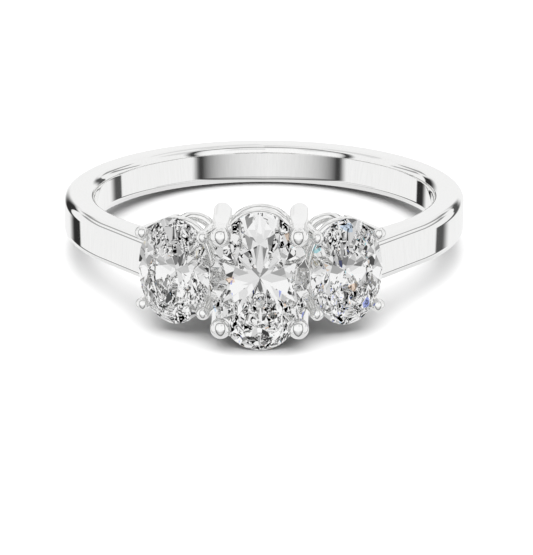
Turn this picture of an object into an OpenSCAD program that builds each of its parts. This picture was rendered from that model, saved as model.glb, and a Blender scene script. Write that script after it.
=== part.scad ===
// Ring with three oval stones, lying on its side. Lengths in mm.
// The ring is drawn round the finger axis with the stones towards -Y, then laid down as it rests.

/* [Band] */
// Diameter of the finger hole
finger_d = 16.5; // [14:0.1:22]
// Width of the band along the finger
band_w = 2.05; // [1.7:0.05:3]
// Thickness of the band at the back
band_back_t = 1.45; // [1.25:0.05:1.9]
// How much thicker the band is at the sides than at the back
side_extra = 0.05; // [0:0.01:0.12]
// Thickness of the band under the heads
bridge_t = 1.1; // [1.04:0.02:1.2]
// Radius of the outer edges of the band
outer_round = 0.42; // [0.2:0.02:0.5]
// Radius of the inner edges of the band
inner_round = 0.45; // [0.1:0.01:0.52]

/* [Centre head] */
// Width of the centre stone
centre_stone_w = 4.5; // [3.5:0.1:5]
// Length of the centre stone along the finger
centre_stone_l = 6.5; // [5.5:0.1:8]
// Height of the girdle of the centre stone above the finger hole
centre_girdle_rise = 3.75; // [3.6:0.05:5]
// Distance across the centre head between the axes of its posts
centre_post_across = 3.52; // [3.2:0.02:3.8]
// Distance along the finger between the axes of its posts
centre_post_along = 4.32; // [3.9:0.02:4.8]
// Radius of the posts of the centre head
centre_post_r = 0.445; // [0.35:0.005:0.46]
// Radius of the round tips of the centre head
centre_tip_r = 0.48; // [0.46:0.01:0.55]
// Half width of the upper rail of the centre head, to the middle of its wire
centre_upper_across = 1.9; // [1.7:0.05:2.1]
// Half length of the upper rail of the centre head, to the middle of its wire
centre_upper_along = 2.83; // [2.5:0.05:2.95]
// Half width of the lower rail of the centre head, to the middle of its wire
centre_lower_across = 1.8; // [1.6:0.05:2]
// Half length of the lower rail of the centre head, to the middle of its wire
centre_lower_along = 2.5; // [2.2:0.05:2.8]
// Radius of the wire of the rails of the centre head
centre_rail_r = 0.3; // [0.22:0.01:0.35]
// Depth of the upper rail of the centre head below the girdle
centre_upper_depth = 1.1; // [0.9:0.05:1.3]
// Gap between the finger hole and the lower rail of the centre head
centre_lower_lift = 0.35; // [0.2:0.05:0.6]

/* [Side heads] */
// Width of the side stones
side_stone_w = 3.5; // [3:0.05:3.7]
// Length of the side stones along the finger
side_stone_l = 5.05; // [4.4:0.05:5.8]
// Distance between the middles of the girdles of the two side stones
side_stones_apart = 7.87; // [7.8:0.01:8.8]
// Height of the girdle of the side stones above the finger hole
side_girdle_rise = 2.86; // [2.8:0.02:4]
// Distance across a side head between the middles of its tips
side_tips_across = 3; // [2.7:0.05:3.2]
// Distance along the finger between the two tips beside the centre head
side_inner_tips_along = 3.6; // [3.2:0.02:3.9]
// Distance along the finger between the two tips beside the shoulder
side_outer_tips_along = 3.41; // [3.1:0.02:3.8]
// Distance across a side head between the feet of its posts
side_feet_across = 2.2; // [1.8:0.05:2.6]
// Distance along the finger between the feet of its posts
side_feet_along = 3.1; // [2.6:0.05:3.3]
// Radius of the posts of the side heads
side_post_r = 0.29; // [0.22:0.005:0.3]
// Radius of the round tips of the side heads
side_tip_r = 0.315; // [0.3:0.005:0.4]
// Half width of the upper rail of a side head, to the middle of its wire
side_upper_across = 1.62; // [1.4:0.02:1.75]
// Half length of the upper rail of a side head, to the middle of its wire
side_upper_along = 2.17; // [1.9:0.02:2.35]
// Half width of the lower rail of a side head, to the middle of its wire
side_lower_across = 1.3; // [1.1:0.02:1.5]
// Half length of the lower rail of a side head, to the middle of its wire
side_lower_along = 1.88; // [1.6:0.02:2]
// Radius of the wire of the rails of the side heads
side_rail_r = 0.25; // [0.18:0.01:0.3]
// Depth of the upper rail of a side head below the girdle
side_upper_depth = 0.66; // [0.55:0.05:0.8]
// Gap between the finger hole and the lower rail of a side head
side_lower_lift = 0.06; // [0.04:0.02:0.3]

/* [Stones] */
// Width of the table as a share of the width of the stone
table_share = 0.6; // [0.5:0.01:0.7]
// Slope of the main facets of the crown in degrees
crown_slope = 34; // [28:0.5:38]
// Slope of the main facets of the centre stone's pavilion in degrees
pavilion_slope = 46.5; // [40:0.1:48]
// Slope of the main facets of the side stones' pavilions in degrees, whose points stay clear of the band
side_pavilion_slope = 41.5; // [39:0.1:42]
// Thickness of the girdle as a share of the width of the stone
girdle_share = 0.032; // [0.025:0.001:0.05]
// Reach of the star facets from the table towards the girdle, as a share
star_share = 0.55; // [0.4:0.01:0.65]
// Reach of the lower girdle facets from the girdle towards the point, as a share
lower_half_share = 0.77; // [0.6:0.01:0.85]
// Gap between a stone and its seat in the tips and posts
seat_gap = 0.03; // [0.01:0.01:0.06]
// Depth of each girdle below the middles of the round tips
girdle_drop = 0.2; // [0.1:0.01:0.3]

/* [Hidden] */
$fn = 96;

finger_r = finger_d / 2;
// The outer round of the band sits a little towards the heads, which makes the sides thicker than the back
round_shift = side_extra;
outer_r = finger_r + band_back_t + side_extra;
bridge_r = finger_r + bridge_t;
// The inner and outer parts of the band overlap between these two radii, clear of the rounds of its edges
core_clear = 0.06;
core_inner_r = finger_r + inner_round + core_clear;
core_outer_r = bridge_r - outer_round - core_clear;

centre_girdle_d = finger_r + centre_girdle_rise;
centre_tip_d = centre_girdle_d + girdle_drop;
centre_upper_d = centre_girdle_d - centre_upper_depth;
centre_lower_d = finger_r + centre_lower_lift + centre_rail_r;
side_girdle_d = finger_r + side_girdle_rise;
side_tip_d = side_girdle_d + girdle_drop;
side_upper_d = side_girdle_d - side_upper_depth;
side_lower_d = finger_r + side_lower_lift + side_rail_r;
// Angle from the front to the middle of a side head
side_angle = asin(side_stones_apart / 2 / side_girdle_d);

// The outer face of a shoulder runs from the upper rail of its side head to where it touches the outer round
rail_end = side_upper_d * [sin(side_angle), -cos(side_angle)]
    + side_upper_across * [cos(side_angle), sin(side_angle)];
rail_from_round = rail_end + [0, round_shift];
shoulder_len = sqrt(pow(norm(rail_from_round), 2) - pow(outer_r, 2));
shoulder_angle = atan2(rail_from_round[0], -rail_from_round[1]) + atan2(shoulder_len, outer_r);
// At its rail the shoulder reaches in to the wall of the finger hole
shoulder_root_r = sqrt(pow(finger_r, 2) - pow(shoulder_len, 2));

// The posts of the centre head start inside the finger hole, whose wall trims them
post_start_d = sqrt(pow(finger_r, 2) - pow(centre_post_across, 2));

// Direction of the joints between the arcs of an oval rail, seen from the middles of the arcs
arc_joint = [0.8, 0.6];

// Facets of a stone, counted as eight mains round it and four steps along each girdle facet
mains = 8;
girdle_steps = 4;
girdle_points = 2 * mains * girdle_steps;
main_turn = 360 / mains;
half_turn = main_turn / 2;
chord = cos(half_turn / 2);
// Distance of the middle of an edge of the table from the axis of the stone
table_flat_r = table_share * cos(half_turn);

function polar(r, a) = [r * cos(a), r * sin(a)];
// Angle of a girdle point from the middle of the girdle facet that it bounds
function facet_offset(i) = (i % girdle_steps) * half_turn / girdle_steps - half_turn / 2;

// Points of a round stone of unit radius whose girdle is centred on z = 0, in rings from the table down
function stone_points(share, slope) =
    let(
        crown = (1 - table_share) * tan(crown_slope),
        pavilion = tan(slope),
        star_r = table_flat_r + star_share * (1 - table_flat_r),
        star_z = crown * (1 - star_r * cos(half_turn)) / (1 - table_share),
        low_r = 1 - lower_half_share,
        low_z = -pavilion * (1 - low_r * cos(half_turn)),
        upper_fall = star_z / (chord - star_r * chord),
        lower_rise = -low_z / (chord - low_r * chord)
    )
    concat(
        [for (k = [0 : mains - 1]) concat(polar(table_share, k * main_turn), share + crown)],
        [for (k = [0 : mains - 1]) concat(polar(star_r, (k + 0.5) * main_turn), share + star_z)],
        [for (i = [0 : girdle_points - 1])
            concat(polar(1, i * 360 / girdle_points), share - upper_fall * (cos(facet_offset(i)) - chord))],
        [for (i = [0 : girdle_points - 1])
            concat(polar(1, i * 360 / girdle_points), -share + lower_rise * (cos(facet_offset(i)) - chord))],
        [for (k = [0 : mains - 1]) concat(polar(low_r, (k + 0.5) * main_turn), low_z - share)],
        [[0, 0, -pavilion - share]]
    );

// First point of each ring in the list above
table_at = 0;
star_at = mains;
top_at = 2 * mains;
low_edge_at = top_at + girdle_points;
low_at = low_edge_at + girdle_points;
point_at = low_at + mains;

function top_point(i) = top_at + i % girdle_points;
function low_edge_point(i) = low_edge_at + i % girdle_points;
// Faces are listed clockwise seen from outside
stone_faces = concat(
    [[for (k = [mains - 1 : -1 : 0]) table_at + k]],
    [for (k = [0 : mains - 1]) [table_at + k, table_at + (k + 1) % mains, star_at + k]],
    [for (k = [0 : mains - 1])
        [table_at + k, star_at + k, top_point(2 * girdle_steps * k), star_at + (k + mains - 1) % mains]],
    [for (h = [0 : 2 * mains - 1])
        concat([star_at + floor(h / 2)], [for (s = [girdle_steps : -1 : 0]) top_point(h * girdle_steps + s)])],
    [for (i = [0 : girdle_points - 1])
        [top_point(i), top_point(i + 1), low_edge_point(i + 1), low_edge_point(i)]],
    [for (h = [0 : 2 * mains - 1])
        concat([low_at + floor(h / 2)], [for (s = [0 : girdle_steps]) low_edge_point(h * girdle_steps + s)])],
    [for (k = [0 : mains - 1])
        [point_at, low_at + (k + mains - 1) % mains, low_edge_point(2 * girdle_steps * k), low_at + k]]
);

// Oval stone with its table towards +Z, its length along Y and the middle of its girdle at the origin
module oval_stone(w, l, slope, grow) {
    polyhedron(
        points = [for (p = stone_points(girdle_share, slope))
            [p[0] * (w / 2 + grow), p[1] * (l / 2 + grow), p[2] * (w / 2 + grow)]],
        faces = stone_faces
    );
}

// Stands a head on the finger axis: its Z points out from the finger, its Y runs along the finger
module at_head(angle) {
    rotate([0, 0, angle]) rotate([90, 0, 0]) children();
}

// Half of a band section, rounded at its outer edges
module outer_section(from_r, to_r) {
    translate([from_r, -band_w / 2]) square([to_r - from_r - outer_round, band_w]);
    translate([from_r, outer_round - band_w / 2]) square([to_r - from_r, band_w - 2 * outer_round]);
    for (side = [-1, 1])
        translate([to_r - outer_round, side * (band_w / 2 - outer_round)]) circle(r = outer_round);
}

// Half of a band section, rounded at its inner edges
module inner_section() {
    span = core_outer_r - finger_r;
    translate([finger_r + inner_round, -band_w / 2]) square([span - inner_round, band_w]);
    translate([finger_r, inner_round - band_w / 2]) square([span, band_w - 2 * inner_round]);
    for (side = [-1, 1])
        translate([finger_r + inner_round, side * (band_w / 2 - inner_round)]) circle(r = inner_round);
}

// Outer part of the band from one angle, measured from +X, through a turn
module outer_part(start, turn, to_r) {
    translate([0, -round_shift, 0])
        rotate([0, 0, start])
            rotate_extrude(angle = turn) outer_section(core_inner_r + round_shift, to_r);
}

// Straight shoulder on the +X side
module shoulder() {
    difference() {
        translate([0, -round_shift, 0])
            rotate([0, 0, shoulder_angle - 90])
                rotate([90, 0, 0])
                    linear_extrude(height = shoulder_len)
                        outer_section(shoulder_root_r, outer_r);
        cylinder(r = core_inner_r + round_shift, h = 2 * band_w, center = true);
    }
}

module band() {
    rotate_extrude() inner_section();
    outer_part(shoulder_angle - 90, 360 - 2 * shoulder_angle, outer_r);
    outer_part(-90 - shoulder_angle, 2 * shoulder_angle, bridge_r);
    shoulder();
    mirror([1, 0, 0]) shoulder();
}

// Arc of round wire about the Z axis, between two directions
module wire_arc(r, wire_r, from, to) {
    reach = 2 * (r + wire_r);
    intersection() {
        rotate_extrude() translate([r, 0]) circle(r = wire_r);
        linear_extrude(height = reach, center = true)
            polygon([[0, 0], reach * from, reach * (from + to), reach * to]);
    }
}

// Oval rail of four tangent arcs, half width a along X and half length b along Y
module oval_rail(a, b, wire_r) {
    middles = (b - a) / (arc_joint[0] + arc_joint[1] - 1);
    side_r = a + middles * arc_joint[0];
    end_r = b - middles * arc_joint[1];
    for (side = [0, 180])
        rotate([0, 0, side]) {
            translate([a - side_r, 0, 0]) wire_arc(side_r, wire_r, [arc_joint[0], -arc_joint[1]], arc_joint);
            translate([0, b - end_r, 0]) wire_arc(end_r, wire_r, arc_joint, [-arc_joint[0], arc_joint[1]]);
        }
}

// Round post between two points, ending in a round tip
module post(from, to, post_r, tip_r) {
    run = to - from;
    translate(from)
        rotate([0, acos(run[2] / norm(run)), atan2(run[1], run[0])])
            cylinder(r = post_r, h = norm(run));
    translate(to) sphere(r = tip_r);
}

module centre_head() {
    for (x = [-1, 1], y = [-1, 1]) {
        axis = [x * centre_post_across / 2, y * centre_post_along / 2];
        post(concat(axis, post_start_d), concat(axis, centre_tip_d), centre_post_r, centre_tip_r);
    }
    translate([0, 0, centre_upper_d]) oval_rail(centre_upper_across, centre_upper_along, centre_rail_r);
    translate([0, 0, centre_lower_d]) oval_rail(centre_lower_across, centre_lower_along, centre_rail_r);
}

// Side head of the +X side: its own +X is beside the shoulder
module side_head() {
    for (x = [-1, 1], y = [-1, 1]) {
        tips_along = x < 0 ? side_inner_tips_along : side_outer_tips_along;
        post(
            [x * side_feet_across / 2, y * side_feet_along / 2, finger_r],
            [x * side_tips_across / 2, y * tips_along / 2, side_tip_d],
            side_post_r,
            side_tip_r
        );
    }
    translate([0, 0, side_upper_d]) oval_rail(side_upper_across, side_upper_along, side_rail_r);
    translate([0, 0, side_lower_d]) oval_rail(side_lower_across, side_lower_along, side_rail_r);
}

module centre_gem(grow = 0) {
    at_head(0) translate([0, 0, centre_girdle_d]) oval_stone(centre_stone_w, centre_stone_l, pavilion_slope, grow);
}

module side_gem(angle, grow = 0) {
    at_head(angle) translate([0, 0, side_girdle_d])
        oval_stone(side_stone_w, side_stone_l, side_pavilion_slope, grow);
}

// Everything is turned about X and moved so that the lowest points of the back and of the front touch z = 0
back_low = [outer_r - round_shift - outer_round, outer_round - band_w / 2, outer_round];
function stone_low(d, l, w) = [-(d - girdle_share * w / 2), -l / 2, 0];
front_lows = [
    stone_low(centre_girdle_d, centre_stone_l, centre_stone_w),
    stone_low(side_girdle_d * cos(side_angle), side_stone_l, side_stone_w),
    [-centre_upper_d, -centre_upper_along, centre_rail_r],
    [-centre_tip_d, -centre_post_along / 2, centre_tip_r]
];
// Turn at which two rounds of the list form [y, z, radius] rest on one level line
function level_turn(a, b) =
    atan2(a[1] - b[1], a[0] - b[0]) - asin((a[2] - b[2]) / norm([a[0] - b[0], a[1] - b[1]]));
lean = max([for (low = front_lows) level_turn(back_low, low)]);
lift = back_low[0] * sin(lean) - back_low[1] * cos(lean) + back_low[2];
table_d = centre_girdle_d + centre_stone_w / 2 * (girdle_share + (1 - table_share) * tan(crown_slope));
back_y = back_low[0] * cos(lean) - back_low[1] * sin(lean) + back_low[2];
front_y = max(
    table_d * cos(lean) + table_share * centre_stone_l / 2 * sin(lean),
    centre_tip_d * cos(lean) + centre_post_along / 2 * sin(lean) + centre_tip_r
);

module lying() {
    translate([0, (front_y - back_y) / 2, lift]) rotate([-lean, 0, 0]) children();
}

module setting() {
    color("gainsboro") lying() {
        band();
        difference() {
            union() {
                at_head(0) centre_head();
                at_head(side_angle) side_head();
                mirror([1, 0, 0]) at_head(side_angle) side_head();
            }
            cylinder(r = finger_r, h = 2 * centre_stone_l, center = true);
            centre_gem(seat_gap);
            for (side = [-1, 1]) side_gem(side * side_angle, seat_gap);
        }
    }
}

module centre_stone() { color("white") lying() centre_gem(); }
module left_stone() { color("white") lying() side_gem(-side_angle); }
module right_stone() { color("white") lying() side_gem(side_angle); }

setting();
centre_stone();
left_stone();
right_stone();
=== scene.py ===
from math import asin, atan2, cos, pi, radians, sin, sqrt

import bpy
from mathutils import Matrix, Vector


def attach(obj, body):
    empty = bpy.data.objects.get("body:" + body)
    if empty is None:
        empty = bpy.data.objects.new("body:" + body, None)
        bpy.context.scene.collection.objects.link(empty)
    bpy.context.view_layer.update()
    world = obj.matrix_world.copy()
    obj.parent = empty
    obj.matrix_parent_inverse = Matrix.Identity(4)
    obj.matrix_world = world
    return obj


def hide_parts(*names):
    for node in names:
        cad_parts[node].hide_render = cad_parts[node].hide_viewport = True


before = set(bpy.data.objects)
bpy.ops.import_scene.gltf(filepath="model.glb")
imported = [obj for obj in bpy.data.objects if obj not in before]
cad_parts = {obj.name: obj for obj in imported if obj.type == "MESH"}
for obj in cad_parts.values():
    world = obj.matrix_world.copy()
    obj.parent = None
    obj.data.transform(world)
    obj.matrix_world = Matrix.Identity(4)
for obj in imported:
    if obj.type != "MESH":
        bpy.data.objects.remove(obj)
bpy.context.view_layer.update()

# Sizes of the ring in millimetres, as in the CAD model. D is a distance from the finger axis, R a radius
MM = 0.001
FINGER_R = 8.25
BAND_W = 2.05
BAND_BACK_T = 1.45
SIDE_EXTRA = 0.05
BRIDGE_T = 1.1
OUTER_ROUND = 0.42
INNER_ROUND = 0.45
OUTER_R = FINGER_R + BAND_BACK_T + SIDE_EXTRA
BRIDGE_R = FINGER_R + BRIDGE_T

STONE_W, STONE_L = 4.5, 6.5
GIRDLE_RISE, UPPER_DEPTH, LOWER_LIFT = 3.75, 1.1, 0.35
GIRDLE_D = FINGER_R + GIRDLE_RISE
POST_ACROSS, POST_ALONG = 3.52, 4.32
POST_R, TIP_R = 0.445, 0.48
UPPER_RAIL = (1.9, 2.83)
LOWER_RAIL = (1.8, 2.5)
RAIL_R = 0.3
UPPER_D = GIRDLE_D - UPPER_DEPTH
LOWER_D = FINGER_R + LOWER_LIFT + RAIL_R

SIDE_W, SIDE_L = 3.5, 5.05
SIDE_GIRDLE_RISE, SIDE_UPPER_DEPTH, SIDE_LOWER_LIFT = 2.86, 0.66, 0.06
SIDE_STONES_APART = 7.87
SIDE_GIRDLE_D = FINGER_R + SIDE_GIRDLE_RISE
SIDE_ANGLE = asin(SIDE_STONES_APART / 2 / SIDE_GIRDLE_D)
SIDE_TIPS_ACROSS = 3.0
SIDE_TIPS_ALONG = {-1: 3.6, 1: 3.41}
SIDE_FEET = (2.2, 3.1)
SIDE_POST_R, SIDE_TIP_R = 0.29, 0.315
SIDE_UPPER_RAIL = (1.62, 2.17)
SIDE_LOWER_RAIL = (1.3, 1.88)
SIDE_RAIL_R = 0.25
SIDE_UPPER_D = SIDE_GIRDLE_D - SIDE_UPPER_DEPTH
SIDE_LOWER_D = FINGER_R + SIDE_LOWER_LIFT + SIDE_RAIL_R
GIRDLE_DROP = 0.2
SEAT_GAP = 0.03

# How the ring lies: it leans towards its stones, with the middle of its hole at this place
LEAN = radians(5.983)
HOLE_Y, HOLE_Z = 1.5631, 1.9890
LYING = Matrix.Scale(MM, 4) @ Matrix.Translation((0, HOLE_Y, HOLE_Z)) @ Matrix.Rotation(-LEAN, 4, "X")


def head_frame(angle):
    """Stands a head on the finger axis: Z points out from the finger, Y runs along the finger."""
    return Matrix.Rotation(angle, 4, "Z") @ Matrix.Rotation(pi / 2, 4, "X")


# Meshes

def outward(face, verts, normals):
    """The face, turned so that it looks the way its corners' normals do."""
    a, b, c = (Vector(verts[face[k]]) for k in (0, len(face) // 3, 2 * len(face) // 3))
    towards = sum((Vector(normals[k]) for k in face), Vector())
    return face if (b - a).cross(c - a).dot(towards) > 0 else face[::-1]


def add_object(name, verts, faces, normals=None, matrix=LYING):
    """A mesh object from points in ring millimetres, with its own smooth normals where they are given."""
    if normals:
        faces = [outward(f, verts, normals) for f in faces]
    mesh = bpy.data.meshes.new(name)
    mesh.from_pydata([matrix @ Vector(v) for v in verts], [], faces)
    mesh.update()
    obj = bpy.data.objects.new(name, mesh)
    bpy.context.scene.collection.objects.link(obj)
    if normals:
        for polygon in mesh.polygons:
            polygon.use_smooth = True
        turn = matrix.to_3x3().normalized()
        mesh.normals_split_custom_set_from_vertices([(turn @ Vector(n)).normalized() for n in normals])
    return obj


def sheet_faces(rows, columns, first=0, close_rows=False, close_columns=False):
    """Quads between neighbouring points of a grid that is stored row by row."""
    faces = []
    for i in range(rows if close_rows else rows - 1):
        for j in range(columns if close_columns else columns - 1):
            k = (j + 1) % columns
            this, after = first + i * columns, first + (i + 1) % rows * columns
            faces.append((this + j, this + k, after + k, after + j))
    return faces


def smooth_by_angle(obj, angle):
    """Smooth shading that keeps the edges sharper than the angle."""
    for polygon in obj.data.polygons:
        polygon.use_smooth = True
    obj.data.set_sharp_from_angle(angle=angle)


def cut(obj, *cutters):
    """Cuts other objects out of this one."""
    for cutter in cutters:
        modifier = obj.modifiers.new("cut", "BOOLEAN")
        modifier.operation = "DIFFERENCE"
        modifier.solver = "EXACT"
        modifier.object = cutter
        deps = bpy.context.evaluated_depsgraph_get()
        mesh = bpy.data.meshes.new_from_object(obj.evaluated_get(deps))
        obj.modifiers.clear()
        obj.data = mesh


# The band: a section swept round the finger, flat on its sides, with the straight shoulders

SECTION_STEPS = 10
ROUND = [i / SECTION_STEPS * pi / 2 for i in range(SECTION_STEPS + 1)]
ARC_STATIONS = 240
SHOULDER_STATIONS = 24
BRIDGE_STATIONS = 60


def station(outer, normal):
    """Points and normals round the band's section where its outer face passes through the point outer."""
    outer, normal = Vector((*outer, 0)), Vector((*normal, 0))
    radial = outer.normalized()
    inner = radial * FINGER_R
    half = BAND_W / 2
    points, normals = [], []
    for side in (1, -1):
        up = Vector((0, 0, side))
        row = []
        for face, away, r, angles in (
            (inner, -radial, INNER_ROUND, ROUND),
            (outer, normal, OUTER_ROUND, ROUND[::-1]),
        ):
            for a in angles:
                point = face - away * r * (1 - cos(a)) + up * (half - r + r * sin(a))
                row.append((point, away * cos(a) + up * sin(a)))
        if side < 0:
            row.reverse()
        points += [p for p, n in row]
        normals += [n for p, n in row]
    return points, normals


def unit(angle):
    return Vector((cos(angle), sin(angle)))


def band():
    shift = Vector((0, -SIDE_EXTRA))
    out, across = Vector((sin(SIDE_ANGLE), -cos(SIDE_ANGLE))), Vector((cos(SIDE_ANGLE), sin(SIDE_ANGLE)))
    rail_end = SIDE_UPPER_D * out + SIDE_UPPER_RAIL[0] * across
    from_round = rail_end - shift
    length = sqrt(from_round.length_squared - OUTER_R ** 2)
    touch = atan2(from_round.y, from_round.x) + atan2(length, OUTER_R)
    root = shift + OUTER_R * unit(touch)
    outers = [
        (rail_end.lerp(root, i / SHOULDER_STATIONS), unit(touch)) for i in range(SHOULDER_STATIONS)
    ]
    for i in range(ARC_STATIONS + 1):
        angle = touch + (pi - 2 * touch) * i / ARC_STATIONS
        outers.append((shift + OUTER_R * unit(angle), unit(angle)))
    outers += [(Vector((-p.x, p.y)), Vector((-n.x, n.y))) for p, n in reversed(outers[:SHOULDER_STATIONS])]
    start = atan2(rail_end.y, rail_end.x)
    bridge = []
    for i in range(BRIDGE_STATIONS + 1):
        angle = start - (2 * start + pi) * i / BRIDGE_STATIONS
        spoke = unit(angle)
        # The bridge is round about the shifted middle: its distance from the finger axis, along the spoke
        reach = spoke.dot(shift) + sqrt(BRIDGE_R ** 2 - shift.length_squared + spoke.dot(shift) ** 2)
        point = spoke * reach
        bridge.append((point, (point - shift).normalized()))
    verts, normals, faces = [], [], []
    for run in (outers, bridge):
        first = len(verts)
        for outer, normal in run:
            points, point_normals = station(outer, normal)
            verts += points
            normals += point_normals
        columns = len(points)
        faces += sheet_faces(len(run), columns, first, close_columns=True)
    columns = 4 * (SECTION_STEPS + 1)
    for k, (outer, normal) in enumerate((outers[0], outers[-1])):
        first = len(verts)
        points, _ = station(outer, normal)
        spoke = Vector(outer).normalized()
        end = Vector((spoke.y, -spoke.x, 0)) * (1 if k == 0 else -1)
        verts += points
        normals += [end] * columns
        faces.append(tuple(range(first, first + columns)))
    return add_object("band", verts, faces, normals)


# Wires and posts

POST_START = 1
RAIL_ARC_STEPS = 40
WIRE_SIDES = 40
JOINT_X, JOINT_Y = 0.8, 0.6
POST_SIDES = 64
TIP_STEPS = 24


def oval_path(a, b):
    """Points and outward directions of an oval of four tangent arcs, half width a and half length b."""
    middles = (b - a) / (JOINT_X + JOINT_Y - 1)
    side_r, end_r = a + middles * JOINT_X, b - middles * JOINT_Y
    joint = atan2(JOINT_Y, JOINT_X)
    path = []
    for middle, r, start, turn in (
        (Vector((a - side_r, 0)), side_r, -joint, 2 * joint),
        (Vector((0, b - end_r)), end_r, joint, pi - 2 * joint),
        (Vector((side_r - a, 0)), side_r, pi - joint, 2 * joint),
        (Vector((0, end_r - b)), end_r, pi + joint, pi - 2 * joint),
    ):
        for i in range(RAIL_ARC_STEPS):
            direction = unit(start + turn * i / RAIL_ARC_STEPS)
            path.append((middle + r * direction, direction))
    return path


def oval_rail(name, a, b, wire_r, height, matrix):
    verts, normals = [], []
    for point, out in oval_path(a, b):
        for j in range(WIRE_SIDES):
            angle = 2 * pi * j / WIRE_SIDES
            normal = Vector((out.x * cos(angle), out.y * cos(angle), sin(angle)))
            verts.append(Vector((point.x, point.y, height)) + wire_r * normal)
            normals.append(normal)
    faces = sheet_faces(len(verts) // WIRE_SIDES, WIRE_SIDES, close_rows=True, close_columns=True)
    return add_object(name, verts, faces, normals, LYING @ matrix)


def post(name, foot, tip, post_r, tip_r, matrix):
    """Round post with a round tip, a closed turned shape."""
    foot, tip = Vector(foot), Vector(tip)
    axis = (tip - foot).normalized()
    side = axis.orthogonal().normalized()
    other = axis.cross(side)
    length = (tip - foot).length
    low = asin(post_r / tip_r)
    profile = [(post_r, 0.0), (post_r, length / 2)]
    profile += [
        (tip_r * sin(a), length - tip_r * cos(a))
        for a in (low + (pi - low) * i / TIP_STEPS for i in range(TIP_STEPS))
    ]
    verts = []
    for r, h in profile:
        for j in range(POST_SIDES):
            angle = 2 * pi * j / POST_SIDES
            verts.append(foot + axis * h + r * (side * cos(angle) + other * sin(angle)))
    faces = sheet_faces(len(profile), POST_SIDES, close_columns=True)
    verts.append(foot + axis * (length + tip_r))
    pole = len(verts) - 1
    last = (len(profile) - 1) * POST_SIDES
    faces += [(last + j, last + (j + 1) % POST_SIDES, pole) for j in range(POST_SIDES)]
    faces.append(tuple(reversed(range(POST_SIDES))))
    return add_object(name, verts, faces, None, LYING @ matrix)


# The stones, with the facets of the CAD model

TABLE_SHARE, GIRDLE_SHARE = 0.6, 0.032
CROWN_SLOPE, PAVILION_SLOPE, SIDE_PAVILION_SLOPE = radians(34), radians(46.5), radians(41.5)
STAR_SHARE, LOWER_HALF_SHARE = 0.55, 0.77
MAINS, GIRDLE_STEPS = 8, 4
SEAT_SIDES = 96


def oval_stone(name, width, length, distance, angle, slope):
    """An oval brilliant: table, star, kite and girdle facets above, lower girdle and main facets below."""
    turn = 2 * pi / MAINS
    count = 2 * MAINS * GIRDLE_STEPS
    half, chord = cos(turn / 2), cos(turn / 4)
    crown = (1 - TABLE_SHARE) * sin(CROWN_SLOPE) / cos(CROWN_SLOPE)
    pavilion = sin(slope) / cos(slope)
    flat_r = TABLE_SHARE * half
    star_r = flat_r + STAR_SHARE * (1 - flat_r)
    star_z = crown * (1 - star_r * half) / (1 - TABLE_SHARE)
    low_r = 1 - LOWER_HALF_SHARE
    low_z = -pavilion * (1 - low_r * half)
    upper_fall = star_z / (chord - star_r * chord)
    lower_rise = -low_z / (chord - low_r * chord)
    scallops = [cos((i % GIRDLE_STEPS) * turn / 2 / GIRDLE_STEPS - turn / 4) - chord for i in range(count)]
    rings = [
        [(TABLE_SHARE * unit(k * turn), GIRDLE_SHARE + crown) for k in range(MAINS)],
        [(star_r * unit((k + 0.5) * turn), GIRDLE_SHARE + star_z) for k in range(MAINS)],
        [(unit(i * 2 * pi / count), GIRDLE_SHARE - upper_fall * scallops[i]) for i in range(count)],
        [(unit(i * 2 * pi / count), -GIRDLE_SHARE + lower_rise * scallops[i]) for i in range(count)],
        [(low_r * unit((k + 0.5) * turn), low_z - GIRDLE_SHARE) for k in range(MAINS)],
        [(Vector((0, 0)), -pavilion - GIRDLE_SHARE)],
    ]
    verts = [(p.x * width / 2, p.y * length / 2, z * width / 2 + distance) for ring in rings for p, z in ring]
    table, star, top, edge = 0, MAINS, 2 * MAINS, 2 * MAINS + count
    low, point = edge + count, edge + count + MAINS
    faces = [tuple(range(MAINS))]
    for k in range(MAINS):
        before, after = (k - 1) % MAINS, (k + 1) % MAINS
        faces.append((table + k, star + k, table + after))
        faces.append((table + k, star + before, top + 2 * GIRDLE_STEPS * k, star + k))
        faces.append((point, low + k, edge + 2 * GIRDLE_STEPS * k, low + before))
    for h in range(2 * MAINS):
        along = [(h * GIRDLE_STEPS + i) % count for i in range(GIRDLE_STEPS + 1)]
        faces.append((star + h // 2, *(top + i for i in along)))
        faces.append((low + h // 2, *(edge + i for i in reversed(along))))
    faces += [(edge + i, edge + (i + 1) % count, top + (i + 1) % count, top + i) for i in range(count)]
    return add_object(name, verts, faces, None, LYING @ head_frame(angle))


def seat_cutter(width, length, distance, angle, slope):
    """A plain oval shape with the stone's girdle, crown slope and pavilion slope."""
    crown = (1 - TABLE_SHARE) * (width / 2) * sin(CROWN_SLOPE) / cos(CROWN_SLOPE)
    pavilion = width / 2 * sin(slope) / cos(slope)
    half = GIRDLE_SHARE * width / 2
    verts = []
    for share, z in ((TABLE_SHARE, half + crown), (1, half), (1, -half)):
        for j in range(SEAT_SIDES):
            around = unit(2 * pi * j / SEAT_SIDES)
            verts.append((
                around.x * share * (width / 2 + SEAT_GAP),
                around.y * share * (length / 2 + SEAT_GAP),
                z + distance,
            ))
    faces = sheet_faces(3, SEAT_SIDES, close_columns=True)
    faces = [f[::-1] for f in faces]
    verts.append((0, 0, distance - half - pavilion))
    low = 2 * SEAT_SIDES
    faces += [(low + (j + 1) % SEAT_SIDES, low + j, len(verts) - 1) for j in range(SEAT_SIDES)]
    faces.append(tuple(range(SEAT_SIDES)))
    return add_object("seat_cutter", verts, faces, None, LYING @ head_frame(angle))


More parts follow.
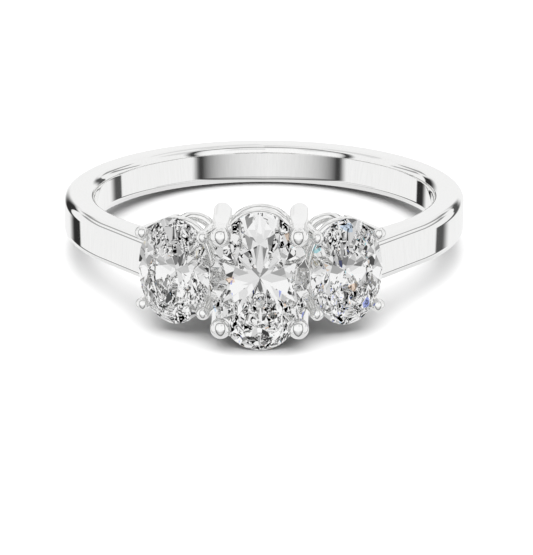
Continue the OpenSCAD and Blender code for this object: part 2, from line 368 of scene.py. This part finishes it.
def finger_cutter():
    sides, half = 360, 5
    around = [FINGER_R * unit(2 * pi * j / sides) for j in range(sides)]
    verts = [(p.x, p.y, z) for z in (-half, half) for p in around]
    faces = sheet_faces(2, sides, close_columns=True)
    faces += [tuple(reversed(range(sides))), tuple(range(sides, 2 * sides))]
    return add_object("finger_cutter", verts, faces, None)


pieces = [band()]
hole = finger_cutter()
seats = {
    0: seat_cutter(STONE_W, STONE_L, GIRDLE_D, 0, PAVILION_SLOPE),
    1: seat_cutter(SIDE_W, SIDE_L, SIDE_GIRDLE_D, SIDE_ANGLE, SIDE_PAVILION_SLOPE),
    -1: seat_cutter(SIDE_W, SIDE_L, SIDE_GIRDLE_D, -SIDE_ANGLE, SIDE_PAVILION_SLOPE),
}
CREASE = radians(25)

centre = head_frame(0)
pieces.append(oval_rail("centre_upper_rail", *UPPER_RAIL, RAIL_R, UPPER_D, centre))
pieces.append(oval_rail("centre_lower_rail", *LOWER_RAIL, RAIL_R, LOWER_D, centre))
for x, left_right in ((-1, "left"), (1, "right")):
    for y, low_high in ((-1, "low"), (1, "high")):
        at = (x * POST_ACROSS / 2, y * POST_ALONG / 2)
        piece = post(
            f"centre_post_{left_right}_{low_high}",
            (*at, FINGER_R - POST_START), (*at, GIRDLE_D + GIRDLE_DROP),
            POST_R, TIP_R, centre,
        )
        cut(piece, hole, seats[0], seats[x])
        smooth_by_angle(piece, CREASE)
        pieces.append(piece)

for side, name in ((-1, "left"), (1, "right")):
    head = head_frame(side * SIDE_ANGLE)
    pieces.append(oval_rail(f"{name}_upper_rail", *SIDE_UPPER_RAIL, SIDE_RAIL_R, SIDE_UPPER_D, head))
    pieces.append(oval_rail(f"{name}_lower_rail", *SIDE_LOWER_RAIL, SIDE_RAIL_R, SIDE_LOWER_D, head))
    for x, place in ((-1, "inner"), (1, "outer")):
        for y, low_high in ((-1, "low"), (1, "high")):
            piece = post(
                f"{name}_post_{place}_{low_high}",
                (side * x * SIDE_FEET[0] / 2, y * SIDE_FEET[1] / 2, FINGER_R),
                (side * x * SIDE_TIPS_ACROSS / 2, y * SIDE_TIPS_ALONG[x] / 2, SIDE_GIRDLE_D + GIRDLE_DROP),
                SIDE_POST_R, SIDE_TIP_R, head,
            )
            cut(piece, seats[side], seats[0])
            smooth_by_angle(piece, CREASE)
            pieces.append(piece)

for cutter in [hole, *seats.values()]:
    bpy.data.objects.remove(cutter)


# Materials

def new_material(name):
    material = bpy.data.materials.new(name)
    material.use_nodes = True
    tree = material.node_tree
    tree.nodes.clear()
    output = tree.nodes.new("ShaderNodeOutputMaterial")
    return material, tree, output


def link(tree, source, socket, target, name):
    tree.links.new(source.outputs[socket], target.inputs[name])


def noise(tree, scale, detail=2.0, stretch=1.0):
    """Noise with its scale per metre, drawn out along the finger axis by the stretch."""
    coordinates = tree.nodes.new("ShaderNodeTexCoord")
    mapping = tree.nodes.new("ShaderNodeMapping")
    mapping.inputs["Rotation"].default_value = (LEAN, 0, 0)
    mapping.inputs["Scale"].default_value = (1, 1, 1 / stretch)
    texture = tree.nodes.new("ShaderNodeTexNoise")
    texture.inputs["Scale"].default_value = scale
    texture.inputs["Detail"].default_value = detail
    link(tree, coordinates, "Object", mapping, "Vector")
    link(tree, mapping, "Vector", texture, "Vector")
    return texture


def spread(tree, texture, low, high):
    """Maps a texture's value from 0..1 to low..high."""
    reach = tree.nodes.new("ShaderNodeMapRange")
    reach.inputs["To Min"].default_value = low
    reach.inputs["To Max"].default_value = high
    link(tree, texture, "Fac", reach, "Value")
    return reach


# Polishing lines in the metal, along the finger axis: lines per metre and their stretch, and the
# places and greys between which they vary
POLISH_LINES, POLISH_STRETCH = 12000, 40
POLISH_GREYS = ((0.3, (0.9, 0.9, 0.895)), (0.7, (0.935, 0.935, 0.93)))
POLISH_BUMP, POLISH_DEPTH = 0.02, 0.00001
# Patches of slightly different gloss: patches per metre and the range of roughness
GLOSS_PATCHES, GLOSS_RANGE = 1200, (0.02, 0.07)


def polished_metal():
    material, tree, output = new_material("polished_white_gold")
    shader = tree.nodes.new("ShaderNodeBsdfPrincipled")
    shader.inputs["Metallic"].default_value = 1.0
    colours = tree.nodes.new("ShaderNodeValToRGB")
    for stop, (place, grey) in zip(colours.color_ramp.elements, POLISH_GREYS):
        stop.position = place
        stop.color = (*grey, 1)
    link(tree, noise(tree, POLISH_LINES, 3, POLISH_STRETCH), "Fac", colours, "Fac")
    link(tree, colours, "Color", shader, "Base Color")
    gloss = spread(tree, noise(tree, GLOSS_PATCHES, 3), *GLOSS_RANGE)
    link(tree, gloss, "Result", shader, "Roughness")
    bump = tree.nodes.new("ShaderNodeBump")
    bump.inputs["Strength"].default_value = POLISH_BUMP
    bump.inputs["Distance"].default_value = POLISH_DEPTH
    link(tree, noise(tree, POLISH_LINES, 2, POLISH_STRETCH), "Fac", bump, "Height")
    link(tree, bump, "Normal", shader, "Normal")
    link(tree, shader, "BSDF", output, "Surface")
    return material


STONE_IOR = 2.42
# Fresnel share at which a facet starts to mirror, and at which it mirrors fully
MIRROR_FROM, MIRROR_TO = 0.3, 0.7
# Flashes of colour: cells per metre, and from which share of the cells each colour starts. The first
# is the light grey of all the other cells, picked for the tones of the stones in the photograph
FIRE_CELLS = 2300
FIRE = (
    (0.0, (0.945, 0.945, 0.945)),
    (0.967, (0.42, 0.48, 0.88)),
    (0.973, (0.52, 0.84, 0.90)),
    (0.979, (0.70, 0.82, 0.96)),
    (0.986, (0.88, 0.72, 0.60)),
    (0.993, (0.94, 0.90, 0.78)),
)


def fire_colour(tree):
    """Light grey, with a few tinted cells in place of the colours that a cut stone splits light into."""
    coordinates = tree.nodes.new("ShaderNodeTexCoord")
    cells = tree.nodes.new("ShaderNodeTexVoronoi")
    cells.inputs["Scale"].default_value = FIRE_CELLS
    link(tree, coordinates, "Object", cells, "Vector")
    channels = tree.nodes.new("ShaderNodeSeparateColor")
    link(tree, cells, "Color", channels, "Color")
    ramp = tree.nodes.new("ShaderNodeValToRGB")
    ramp.color_ramp.interpolation = "CONSTANT"
    stops = ramp.color_ramp.elements
    stops.remove(stops[1])
    for place, colour in FIRE:
        stop = stops[0] if place == 0 else stops.new(place)
        stop.color = (*colour, 1)
    link(tree, channels, "Red", ramp, "Fac")
    return ramp


def clear_stone():
    """Each facet mirrors or lets through, with less between than in real stone, and so stays crisp."""
    material, tree, output = new_material("clear_stone")
    through = tree.nodes.new("ShaderNodeBsdfRefraction")
    through.inputs["Roughness"].default_value = 0.0
    through.inputs["IOR"].default_value = STONE_IOR
    link(tree, fire_colour(tree), "Color", through, "Color")
    mirror = tree.nodes.new("ShaderNodeBsdfGlossy")
    mirror.inputs["Color"].default_value = (1, 1, 1, 1)
    mirror.inputs["Roughness"].default_value = 0.0
    fresnel = tree.nodes.new("ShaderNodeFresnel")
    fresnel.inputs["IOR"].default_value = STONE_IOR
    share = tree.nodes.new("ShaderNodeMapRange")
    share.inputs["From Min"].default_value = MIRROR_FROM
    share.inputs["From Max"].default_value = MIRROR_TO
    link(tree, fresnel, "Fac", share, "Value")
    mix = tree.nodes.new("ShaderNodeMixShader")
    link(tree, share, "Result", mix, "Fac")
    tree.links.new(through.outputs["BSDF"], mix.inputs[1])
    tree.links.new(mirror.outputs["BSDF"], mix.inputs[2])
    link(tree, mix, "Shader", output, "Surface")
    return material


metal = polished_metal()
for piece in pieces:
    piece.data.materials.clear()
    piece.data.materials.append(metal)
    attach(piece, "root")
for piece in pieces:
    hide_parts("setting")

stone_material = clear_stone()
for name, width, length, distance, angle, slope in (
    ("centre", STONE_W, STONE_L, GIRDLE_D, 0, PAVILION_SLOPE),
    ("left", SIDE_W, SIDE_L, SIDE_GIRDLE_D, -SIDE_ANGLE, SIDE_PAVILION_SLOPE),
    ("right", SIDE_W, SIDE_L, SIDE_GIRDLE_D, SIDE_ANGLE, SIDE_PAVILION_SLOPE),
):
    stone = oval_stone(f"{name}_gem", width, length, distance, angle, slope)
    stone.data.materials.append(stone_material)
    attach(stone, "root")
    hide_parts(f"{name}_stone")


# Floor, light and camera

FLOOR_HALF = 3.0
FLOOR_GREY, FLOOR_ROUGHNESS, FLOOR_SHINE = 0.9, 0.6, 0.2


def floor():
    """A pale floor that the metal and the stones don't reflect."""
    verts = [(x * FLOOR_HALF, y * FLOOR_HALF, 0) for x, y in ((-1, -1), (1, -1), (1, 1), (-1, 1))]
    mesh = bpy.data.meshes.new("floor")
    mesh.from_pydata(verts, [], [(0, 1, 2, 3)])
    obj = bpy.data.objects.new("floor", mesh)
    bpy.context.scene.collection.objects.link(obj)
    material, tree, output = new_material("pale_floor")
    shader = tree.nodes.new("ShaderNodeBsdfPrincipled")
    shader.inputs["Base Color"].default_value = (FLOOR_GREY, FLOOR_GREY, FLOOR_GREY, 1)
    shader.inputs["Roughness"].default_value = FLOOR_ROUGHNESS
    shader.inputs["Specular IOR Level"].default_value = FLOOR_SHINE
    link(tree, shader, "BSDF", output, "Surface")
    mesh.materials.append(material)
    obj.visible_glossy = False
    obj.visible_transmission = False


class Sums:
    """Builds the arithmetic of a node tree, where each value is a socket or a number."""

    def __init__(self, tree):
        self.tree = tree

    def math(self, operation, *values):
        node = self.tree.nodes.new("ShaderNodeMath")
        node.operation = operation
        for socket, value in zip(node.inputs, values):
            if isinstance(value, (int, float)):
                socket.default_value = value
            else:
                self.tree.links.new(value, socket)
        return node.outputs[0]

    def ramp(self, value, x0, x1, y0, y1, smooth=True):
        """y0 up to x0, y1 from x1, and a smooth or straight change between them."""
        node = self.tree.nodes.new("ShaderNodeMapRange")
        node.interpolation_type = "SMOOTHSTEP" if smooth else "LINEAR"
        self.tree.links.new(value, node.inputs["Value"])
        for name, number in (("From Min", x0), ("From Max", x1), ("To Min", y0), ("To Max", y1)):
            node.inputs[name].default_value = number
        return node.outputs["Result"]

    def times(self, first, second):
        return self.math("MULTIPLY", first, second)


# The studio: white panels with dark gaps between them, placed and shaded so that the metal mirrors
# what it does in the photograph. Directions are azimuths from the far side of the ring, positive to
# the right, and elevations, in degrees. Below LOW_FROM the light falls, to its LOW_SHARE at LOW_TO.
PANEL_LIGHT = 0.945
LOW_SHARE, LOW_FROM, LOW_TO = 0.86, -22, -48

# Edges of the big front panel, as the directions square to the planes through the ring and each edge.
# The gap along them is darkest at the edge, and outside it fades out between FRONT_GAP_TO and _FROM.
FRONT_EDGES = ((0.567, -0.769, 0.297), (-0.658, -0.706, 0.261), (0, -0.981, -0.196))
FRONT_GAP = 0.94
FRONT_GAP_FROM, FRONT_GAP_TO = -8, -1.5
# The gap's inner side is wide low down and crisp high up, where the panel is brighter too
FRONT_LOW, FRONT_HIGH = -8, 4
FRONT_FALL_LOW, FRONT_FALL_HIGH = 15, 2.5
CORE_FROM, CORE_TO = 1, 4
FRONT_EXTRA = 0.08

# Gaps at the far side, each bowed outwards below its bend: azimuth and elevation of the bend, azimuth
# per degree above it, bow below it, half width, soft sides outwards and inwards, the same inwards
# above the bend, and the darkness
FAR_GAPS = (
    (-35.5, -8, 0.15, 0.07, 4.5, (2.5, 13, 18), 0.97),
    (36.5, 5, -1.3, 0.04, 3.5, (2.5, 12, 14), 0.9),
)
FAR_GAP_TOP, FAR_GAP_TOP_SOFT = 14, 5
FAR_GAP_LOW, FAR_GAP_LOW_SOFT = -30, 18
BEND_SOFT = 5
# Thin gaps: azimuth range with its soft ends, elevation at each end, fade to each side and darkness
THIN_GAPS = (
    ((-75, -44), 6, (17, 20), 5, 0.75),
    ((44, 78), 6, (20, 14), 5, 0.78),
    ((-48, -24), 6, (32, 23), 5, 0.75),
    ((24, 52), 6, (22, 32), 5, 0.78),
    ((-180, -100), 6, (-24, -24), 3, 0.6),
    ((100, 180), 6, (-24, -24), 3, 0.6),
)

# Ceiling of brighter and darker panels, in two rings: stripes round it, lower edge with its soft side,
# turn between the rings with its half width, how sharp the stripes are, and the darkness
CEILING_STRIPES = 5
CEILING_FROM, CEILING_SOFT = 46, 2
CEILING_TURN, TURN_HALF = 66, 0.5
STRIPE_SOFT = 0.02
CEILING_DARK = 0.2


def studio_world():
    world = bpy.data.worlds.new("studio")
    bpy.context.scene.world = world
    world.use_nodes = True
    tree = world.node_tree
    sums = Sums(tree)
    background = tree.nodes["Background"]
    direction = tree.nodes.new("ShaderNodeTexCoord")
    parts = tree.nodes.new("ShaderNodeSeparateXYZ")
    link(tree, direction, "Generated", parts, "Vector")
    x, y, z = (parts.outputs[name] for name in "XYZ")
    azimuth = sums.math("DEGREES", sums.math("ARCTAN2", x, y))
    elevation = sums.math("DEGREES", sums.math("ARCSINE", z))

    def inside(value, span, soft):
        """1 within the span and 0 outside it, with soft sides."""
        low = sums.ramp(value, span[0] - soft[0], span[0], 0, 1)
        return sums.times(low, sums.ramp(value, span[1], span[1] + soft[1], 1, 0))

    light = sums.ramp(elevation, LOW_TO, LOW_FROM, LOW_SHARE * PANEL_LIGHT, PANEL_LIGHT)

    def darken(shares, dark):
        nonlocal light
        light = sums.times(light, sums.math("SUBTRACT", 1, sums.times(shares, dark)))

    depth = None
    for normal in FRONT_EDGES:
        terms = [sums.times(part, share) for part, share in zip((x, y, z), normal)]
        total = sums.math("ADD", terms[0], sums.math("ADD", terms[1], terms[2]))
        edge = sums.math("DEGREES", sums.math("ARCSINE", total))
        depth = edge if depth is None else sums.math("MINIMUM", depth, edge)
    reach = sums.ramp(elevation, FRONT_LOW, FRONT_HIGH, -FRONT_FALL_LOW, -FRONT_FALL_HIGH)
    fall = sums.math("EXPONENT", sums.math("DIVIDE", sums.math("MAXIMUM", depth, 0), reach))
    darken(sums.times(fall, sums.ramp(depth, FRONT_GAP_FROM, FRONT_GAP_TO, 0, 1)), FRONT_GAP)
    high = sums.ramp(elevation, FRONT_LOW, FRONT_HIGH, 0, 1)
    darken(sums.times(sums.ramp(depth, CORE_FROM, CORE_TO, 0, 1), high), -FRONT_EXTRA)

    ends = inside(elevation, (FAR_GAP_LOW, FAR_GAP_TOP), (FAR_GAP_LOW_SOFT, FAR_GAP_TOP_SOFT))
    for bend, bend_up, lean, bow, half, (out_soft, in_soft, high_soft), dark in FAR_GAPS:
        side = 1 if bend > 0 else -1
        above = sums.math("SUBTRACT", elevation, bend_up)
        middle = sums.math("MULTIPLY_ADD", sums.math("MAXIMUM", above, 0), lean * side, abs(bend))
        below = sums.math("POWER", sums.math("MINIMUM", above, 0), 2)
        middle = sums.math("MULTIPLY_ADD", below, bow, middle)
        outwards = sums.math("SUBTRACT", sums.times(azimuth, side), middle)
        soft = sums.ramp(above, -BEND_SOFT, BEND_SOFT, in_soft, high_soft)
        near = sums.math("DIVIDE", sums.math("ADD", outwards, half), soft)
        outer_side = sums.ramp(outwards, half, half + out_soft, 1, 0)
        shares = sums.times(sums.ramp(near, -1, 0, 0, 1), outer_side)
        darken(sums.times(shares, ends), dark)
    for across, across_soft, (e0, e1), fade, dark in THIN_GAPS:
        middle = sums.ramp(azimuth, *across, e0, e1, smooth=False)
        offset = sums.math("SUBTRACT", elevation, middle)
        length = inside(azimuth, across, (across_soft, across_soft))
        darken(sums.times(length, inside(offset, (0, 0), (fade, fade))), dark)

    stripes = sums.math("SINE", sums.math("RADIANS", sums.times(azimuth, CEILING_STRIPES)))
    turned = sums.ramp(elevation, CEILING_TURN - TURN_HALF, CEILING_TURN + TURN_HALF, 1, -1)
    panels = sums.ramp(sums.times(stripes, turned), -STRIPE_SOFT, STRIPE_SOFT, 0, 1)
    ceiling = sums.ramp(elevation, CEILING_FROM - CEILING_SOFT, CEILING_FROM, 0, 1)
    darken(sums.times(panels, ceiling), CEILING_DARK)

    tree.links.new(light, background.inputs["Strength"])
    background.inputs["Color"].default_value = (1, 1, 1, 1)


LAMP_ACROSS, LAMP_POWER, LAMP_AT = 1.2, 8.0, (0, -0.05, 0.6)


def overhead_light():
    """A wide soft lamp for the floor, which the metal and the stones don't reflect."""
    lamp = bpy.data.lights.new("overhead", "AREA")
    lamp.shape = "DISK"
    lamp.size = LAMP_ACROSS
    lamp.energy = LAMP_POWER
    overhead = bpy.data.objects.new("overhead", lamp)
    overhead.location = LAMP_AT
    overhead.visible_glossy = False
    overhead.visible_transmission = False
    overhead.visible_camera = False
    bpy.context.scene.collection.objects.link(overhead)


# The camera, fitted to the band's outlines and the prong tips in the photograph, for a focal length
# that was picked. It and the photograph's longer side are in pixels.
FOCAL_PIXELS, FRAME_PIXELS, SENSOR = 3000, 555, 36
CAMERA_AT = (0.0023646, -0.1346692, 0.0568506)
CAMERA_TURN = (66.7521, 0.0410, 0.9284)


def camera():
    data = bpy.data.cameras.new("camera")
    data.sensor_width = SENSOR
    data.lens = SENSOR * FOCAL_PIXELS / FRAME_PIXELS
    data.clip_start = 0.01
    data.clip_end = 20
    obj = bpy.data.objects.new("camera", data)
    obj.location = CAMERA_AT
    obj.rotation_euler = [radians(turn) for turn in CAMERA_TURN]
    bpy.context.scene.collection.objects.link(obj)
    bpy.context.scene.camera = obj


floor()
studio_world()
overhead_light()
camera()

# Light that is still inside a stone after this many bounces is lost, and gives part of the stones' dark
BOUNCES = 17

scene = bpy.context.scene
scene.view_settings.view_transform = "Standard"
scene.cycles.max_bounces = BOUNCES
scene.cycles.transmission_bounces = BOUNCES
scene.cycles.glossy_bounces = BOUNCES
scene.cycles.caustics_reflective = False
scene.cycles.caustics_refractive = False
